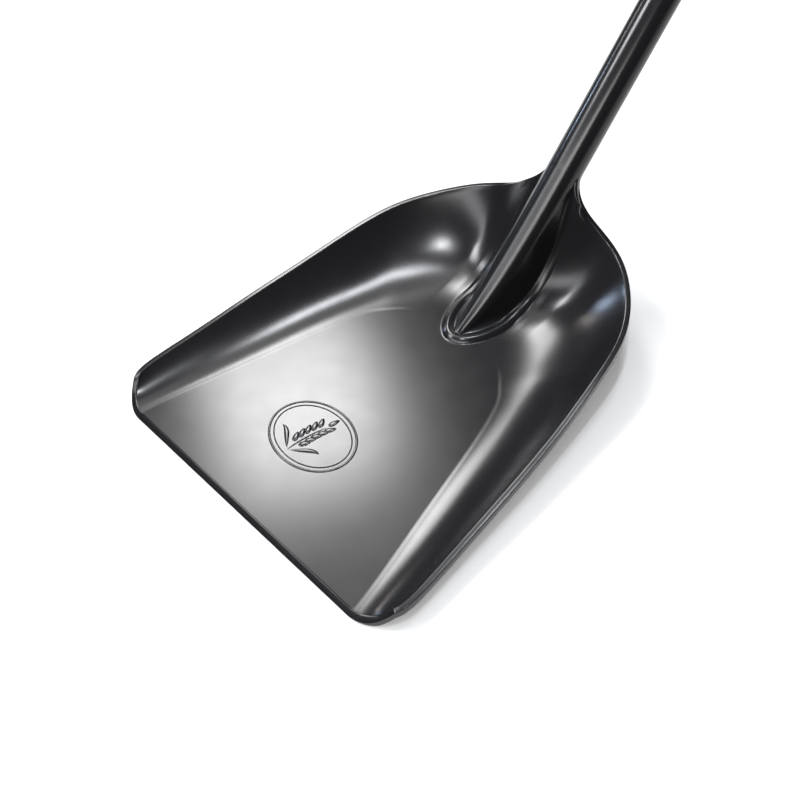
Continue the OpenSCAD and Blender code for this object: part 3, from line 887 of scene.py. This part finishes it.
# ---------------------------------------------------------------- materials
def material(name, rough=0.3, color=(0.02, 0.02, 0.022), second=None, noise=0.04, grain=900.0, bump=0.02,
             spec=0.5, metal=0.0, along=None):
    """Procedural finish: fine two-tone grain, uneven gloss and a fine moulded texture; along stretches it."""
    m = bpy.data.materials.new(name)
    m.use_nodes = True
    t = m.node_tree
    b = t.nodes["Principled BSDF"]
    b.inputs["IOR"].default_value = 1.5
    b.inputs["Specular IOR Level"].default_value = spec
    b.inputs["Metallic"].default_value = metal
    co = t.nodes.new("ShaderNodeTexCoord")
    where = t.nodes.new("ShaderNodeMapping")
    if along:
        where.inputs["Rotation"].default_value = (-LIFT, 0, 0)
        where.inputs["Scale"].default_value = along
    t.links.new(co.outputs["Object"], where.inputs["Vector"])

    def texture(scale, detail):
        n = t.nodes.new("ShaderNodeTexNoise")
        n.inputs["Scale"].default_value = scale
        n.inputs["Detail"].default_value = detail
        t.links.new(where.outputs["Vector"], n.inputs["Vector"])
        return n.outputs["Fac"]

    gloss = t.nodes.new("ShaderNodeMapRange")
    gloss.inputs["To Min"].default_value = rough - noise
    gloss.inputs["To Max"].default_value = rough + noise
    t.links.new(texture(grain * 0.05, 3), gloss.inputs["Value"])
    t.links.new(gloss.outputs["Result"], b.inputs["Roughness"])
    mix = t.nodes.new("ShaderNodeMix")
    mix.data_type = "RGBA"
    mix.inputs[6].default_value = (*color, 1)
    mix.inputs[7].default_value = (*(second or [c * 1.35 for c in color]), 1)
    t.links.new(texture(grain, 2), mix.inputs[0])
    t.links.new(mix.outputs[2], b.inputs["Base Color"])
    relief = t.nodes.new("ShaderNodeBump")
    relief.inputs["Strength"].default_value = bump
    relief.inputs["Distance"].default_value = 0.0002
    t.links.new(texture(grain * 1.6, 2), relief.inputs["Height"])
    t.links.new(relief.outputs["Normal"], b.inputs["Normal"])
    return m


poly = material("scoop_polymer", 0.205, (0.009, 0.009, 0.010), noise=0.03, bump=0.005)
fibre = material("fibreglass_charcoal", 0.24, (0.012, 0.013, 0.015), (0.05, 0.053, 0.06), 0.05, 700.0, 0.05,
                 along=(1, 0.02, 1))
wood = material("core_wood", 0.55, (0.42, 0.25, 0.11), (0.62, 0.42, 0.22), 0.06, 260.0, 0.2,
                along=(1, 0.05, 1))
rubber = material("collar_rubber", 0.5, (0.013, 0.013, 0.014), noise=0.06, bump=0.15)
grip_poly = material("grip_polymer", 0.36, (0.02, 0.02, 0.022), noise=0.05, bump=0.12)
bar_rubber = material("bar_rubber", 0.58, (0.012, 0.012, 0.013), noise=0.06, bump=0.2)
steel = material("zinc_steel", 0.27, (0.52, 0.53, 0.54), (0.66, 0.67, 0.68), 0.06, 500.0, 0.05, metal=1.0)
finishes = {"scoop_moulding": poly, "handle_tube": fibre, "lower_core_plug": wood, "upper_core_plug": wood,
            "socket_collar": rubber, "grip_yoke": grip_poly, "grip_bar": bar_rubber}
for name, ob in frame["nodes"].items():
    ob.data.materials.clear()
    ob.data.materials.append(finishes.get(name, steel))
for ob in list(bpy.context.scene.objects):
    if ob.type == "MESH" and ob.get("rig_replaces"):
        ob.data.materials.append(finishes.get(list(ob["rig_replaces"])[0], steel))

# ---------------------------------------------------------------- camera, floor and light
AZ, EL, ROLL = 0.843, 0.866, -0.069  # fitted view, in radians
TARGET = np.array([18.577, 191.918 + FRONT_Y, 0.0])
DIST, LENS, SENSOR = 889.523, 40.91085, 36.0
right = np.array([math.cos(AZ), math.sin(AZ), 0])
up = np.array([-math.sin(AZ) * math.sin(EL), math.cos(AZ) * math.sin(EL), math.cos(EL)])
ahead = np.array([-math.sin(AZ) * math.cos(EL), math.cos(AZ) * math.cos(EL), -math.sin(EL)])
cam_right = math.cos(ROLL) * right + math.sin(ROLL) * up
cam_up = -math.sin(ROLL) * right + math.cos(ROLL) * up
cam = bpy.data.objects.new("camera", bpy.data.cameras.new("camera"))
bpy.context.scene.collection.objects.link(cam)
place = Matrix([[cam_right[i], cam_up[i], -ahead[i], 0] for i in range(3)] + [[0, 0, 0, 1]])
place.translation = Vector((TARGET - DIST * ahead) * MM)
cam.matrix_world = place
cam.data.sensor_width = SENSOR
cam.data.lens = LENS
cam.data.clip_start = 0.05
bpy.context.scene.camera = cam

# floor and world in m; the floor is so wide that its far edge looks like a horizon
FLOOR_HALF, FLOOR_GAP = 40.0, 0.0006
floor_mesh = bpy.data.meshes.new("floor")
corners = [(x * FLOOR_HALF, y * FLOOR_HALF, 0) for x, y in ((-1, -1), (1, -1), (1, 1), (-1, 1))]
floor_mesh.from_pydata(corners, [], [(0, 1, 2, 3)])
floor = bpy.data.objects.new("floor", floor_mesh)
floor.location.z = -FLOOR_GAP
bpy.context.scene.collection.objects.link(floor)
floor_mat = material("floor_paper", 0.9, (0.86, 0.86, 0.86), (0.87, 0.87, 0.87), 0.02, 60.0, 0.0, 0.1)
glow = floor_mat.node_tree.nodes["Principled BSDF"]
glow.inputs["Emission Color"].default_value = (1, 1, 1, 1)
glow.inputs["Emission Strength"].default_value = 0.2
floor_mesh.materials.append(floor_mat)

# the camera sees a pale backdrop, while the object is lit by only a little of it
WORLD_LIGHT, BACKDROP_GAIN = 0.06, 0.74
world = bpy.data.worlds.new("world")
world.use_nodes = True
world.node_tree.nodes["Background"].inputs[0].default_value = (1, 1, 1, 1)
backdrop = world.node_tree.nodes["Background"].inputs[1]
seen = world.node_tree.nodes.new("ShaderNodeLightPath")
level = world.node_tree.nodes.new("ShaderNodeMath")
level.operation = "MULTIPLY_ADD"
level.inputs[1].default_value, level.inputs[2].default_value = BACKDROP_GAIN, WORLD_LIGHT
world.node_tree.links.new(seen.outputs["Is Camera Ray"], level.inputs[0])
world.node_tree.links.new(level.outputs[0], backdrop)
bpy.context.scene.world = world
bpy.context.scene.view_settings.view_transform = "Standard"


def toward(azimuth, elevation):
    """Direction from compass azimuth (0 at the handle side, 90 at the right) and elevation, in degrees."""
    a, e = math.radians(azimuth), math.radians(elevation)
    return Vector((math.cos(e) * math.sin(a), math.cos(e) * math.cos(a), math.sin(e)))


def area(name, azimuth, elevation, size, power, colour=(1, 1, 1), aim=(0, 0.05, 0.03), dist=2.2):
    """Area light seen from aim in a direction, facing it; lengths in m, power in W."""
    d = toward(azimuth, elevation).normalized()
    light = bpy.data.lights.new(name, "AREA")
    light.shape = "RECTANGLE"
    light.size, light.size_y = size
    light.energy = power
    light.color = colour
    ob = bpy.data.objects.new(name, light)
    ob.location = Vector(aim) + d * dist
    ob.rotation_mode = "QUATERNION"
    ob.rotation_quaternion = (-d).to_track_quat("-Z", "Y")
    bpy.context.scene.collection.objects.link(ob)


area("key_strip", -63, 47, (0.55, 0.75), 18)
area("key_core", -60, 49.5, (0.55, 0.4), 6)
area("key_wide", -63, 63, (1.1, 1.1), 6, dist=2.3)
area("overhead_back", -16, 73.5, (0.32, 0.22), 9.5, (0.93, 0.96, 1.0))
area("overhead_front", 74, 86, (0.26, 0.1), 10, (0.96, 0.98, 1.0), aim=(0.02, -0.19, 0.03))
area("side_panel", -116, 55, (0.5, 0.45), 15, (0.97, 0.98, 1.0))
area("side_warm", -84, 27, (0.1, 0.25), 1.2, (1.0, 0.92, 0.84))
area("side_window", -91, 22.5, (0.16, 0.22), 3.4, (0.6, 0.75, 1.0))
area("front_left", -139, 47, (0.9, 0.4), 6, (0.95, 0.97, 1.0))
area("front_middle", 180, 50, (1.2, 0.4), 8, (0.97, 0.98, 1.0))
area("front_right", 141, 49, (0.9, 0.4), 10)
